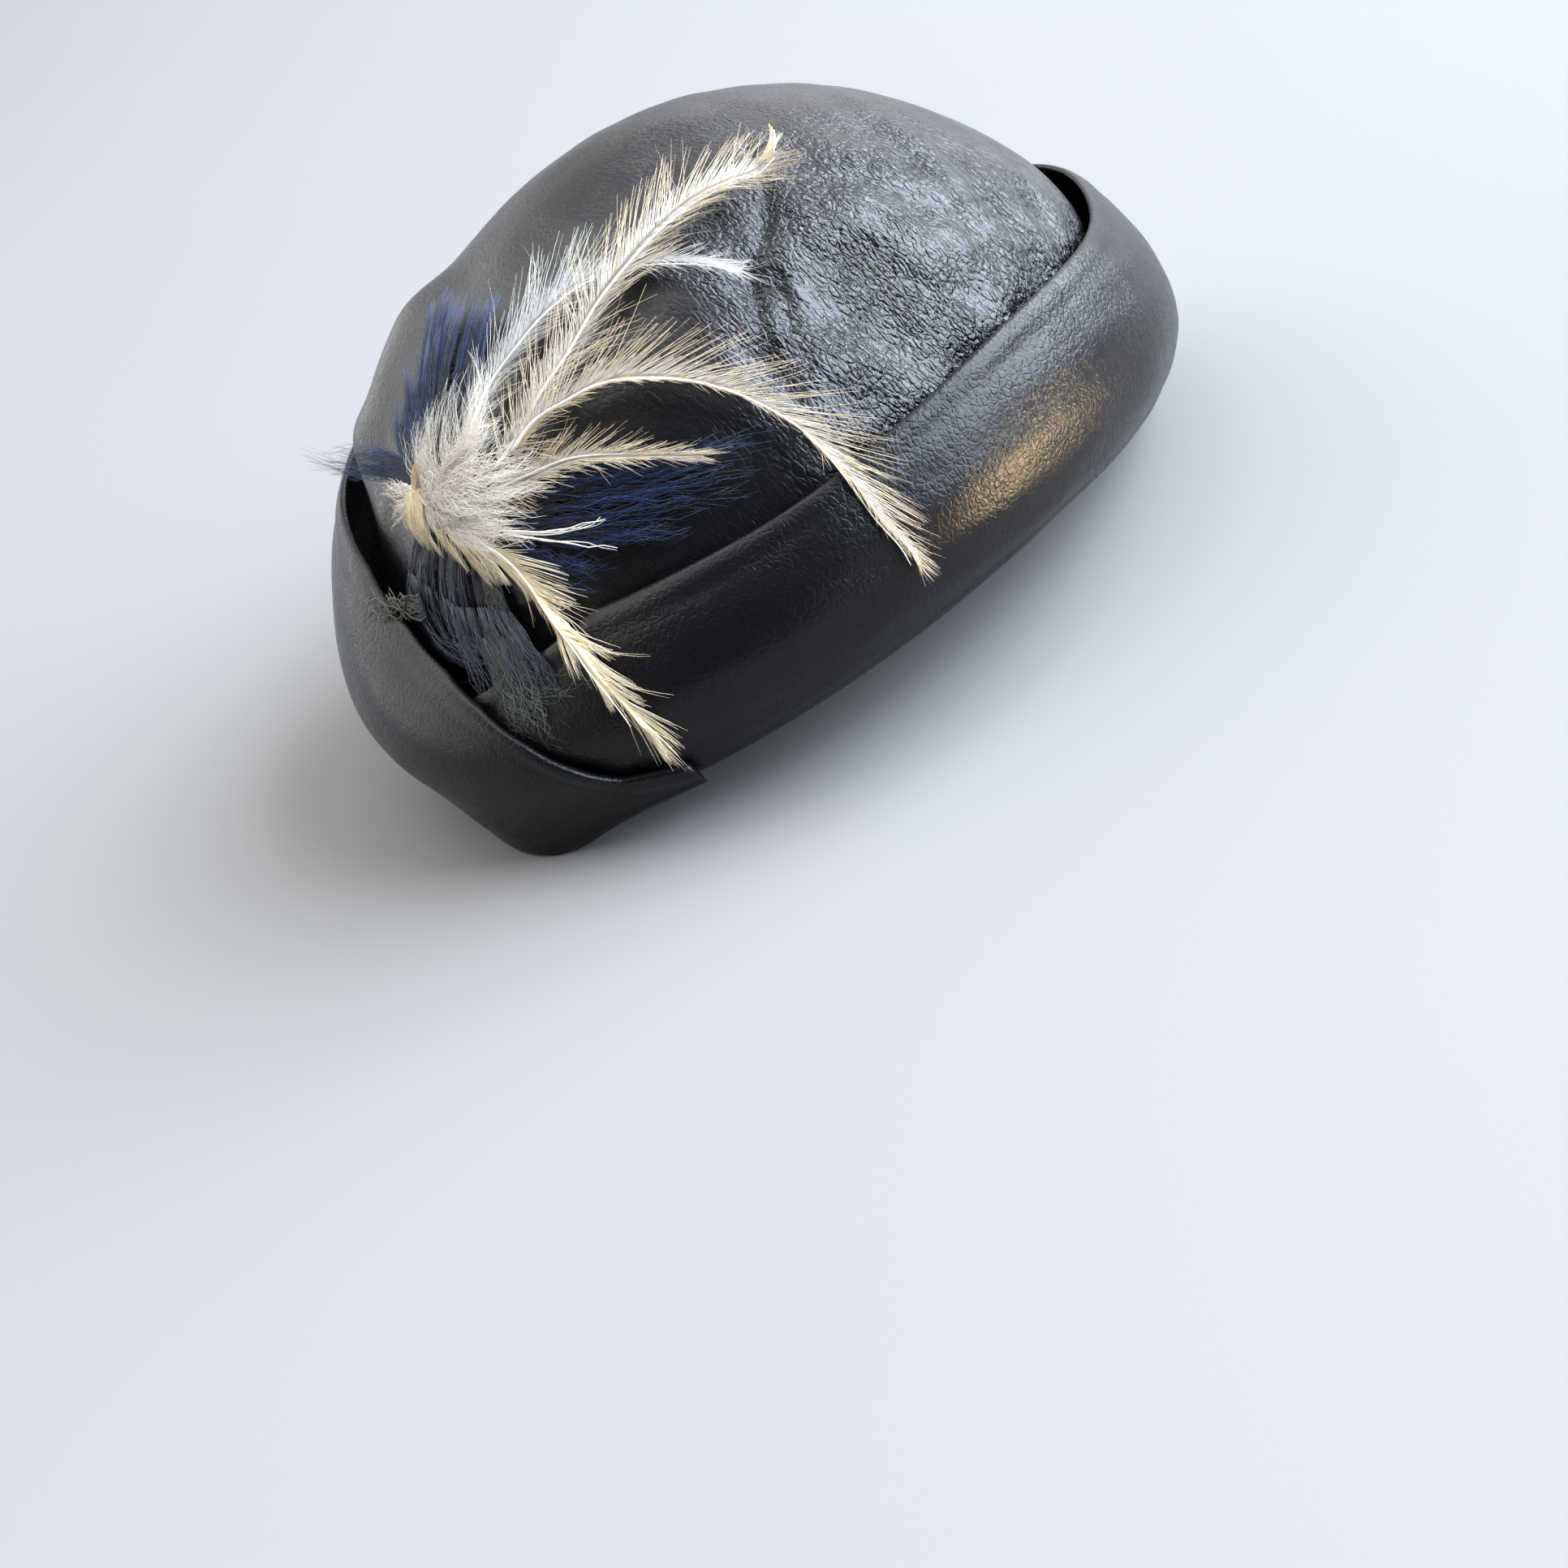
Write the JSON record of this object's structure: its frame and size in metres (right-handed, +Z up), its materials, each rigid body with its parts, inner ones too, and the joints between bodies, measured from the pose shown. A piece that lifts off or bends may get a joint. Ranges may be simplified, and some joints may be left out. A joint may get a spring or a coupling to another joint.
{
  "type": "feather-trimmed leather toque hat",
  "caption": "Small domed leather toque with a turned-up cuff that laps over its own end at the front and a spray of cream and navy feathers",
  "frame": {"origin": "middle of the box's underside, on the plane that the hat rests on", "axes": "+Z up, -Y the front over the wearer's face, +X the wearer's left"},
  "size_m": [0.1764, 0.2208, 0.1092],
  "materials": {
    "crown_leather": "soft semi-gloss black leather with a navy tint, pebbled and creased on one side",
    "cuff_leather": "fine-grained black leather with a satin shine",
    "cream_feather": "matt cream feather barbs with white shafts",
    "white_feather": "matt white feather barbs",
    "golden_feather": "matt golden cream feather barbs",
    "white_down": "soft white down",
    "navy_feather": "navy feather barbs with a slight sheen",
    "slate_feather": "frayed slate navy feather strands"
  },
  "bodies": {
    "root": {"crown": "crown_leather", "cuff": "cuff_leather", "down_tuft": "white_down", "long_plume": "cream_feather", "broad_plume": "white_feather", "curled_plume": "cream_feather", "short_plume": "cream_feather", "drooping_plume": "golden_feather", "navy_plume_upper": "navy_feather", "navy_plume_curled": "navy_feather", "navy_side_tuft": "navy_feather", "navy_hackles": "navy_feather", "navy_lower_plumes": "slate_feather"}
  },
  "joints": []
}
